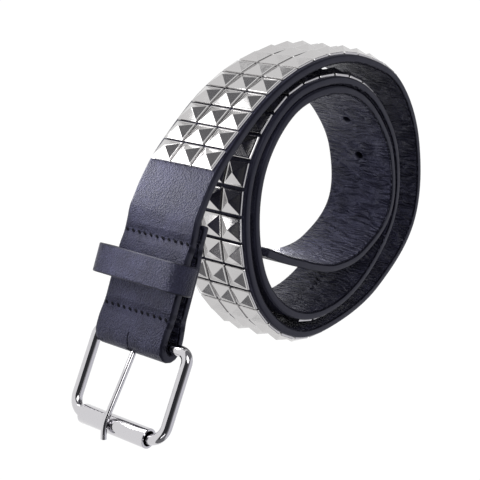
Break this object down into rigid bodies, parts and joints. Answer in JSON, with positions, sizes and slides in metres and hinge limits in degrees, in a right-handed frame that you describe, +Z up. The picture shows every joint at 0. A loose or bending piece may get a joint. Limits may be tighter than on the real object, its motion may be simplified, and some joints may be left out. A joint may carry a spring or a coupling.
{
  "type": "studded belt",
  "caption": "Rolled leather belt covered with rows of metal pyramid studs, with a roller buckle on a wire frame, a prong, a keeper loop and punched holes in its plain tip.",
  "frame": {"origin": "on the floor under the middle of the whole rolled belt", "axes": "+Z up from the strap's lower edge, along the strap's width; +X along the straight buckle end towards the roller; -Y the side with the buckle"},
  "size_m": [0.1985, 0.2016, 0.0568],
  "materials": {
    "strap_leather": "dark blue-grey smooth grain leather with a soft sheen",
    "stud_metal": "bright plated pressed metal",
    "buckle_chrome": "polished chrome plating"
  },
  "bodies": {
    "belt": {"strap": "strap_leather", "stud_field": "stud_metal", "keeper": "strap_leather"},
    "frame": {"buckle_frame": "buckle_chrome"},
    "roller": {"roller": "buckle_chrome"},
    "prong": {"prong": "buckle_chrome"}
  },
  "joints": [
    {"name": "frame_swing", "type": "hinge", "parent": "belt", "child": "frame", "pos_m": [0.05482, -0.08667, 0.0287], "axis": [0, 0, -1], "range_deg": [-60, 20]},
    {"name": "prong_swing", "type": "hinge", "parent": "frame", "child": "prong", "pos_m": [0.05482, -0.08667, 0.02555], "axis": [0, 0, -1], "range_deg": [0, 45]},
    {"name": "roller_spin", "type": "hinge", "parent": "frame", "child": "roller", "pos_m": [0.09234, -0.09029, 0.0287], "axis": [0, 0, 1], "continuous": true}
  ]
}
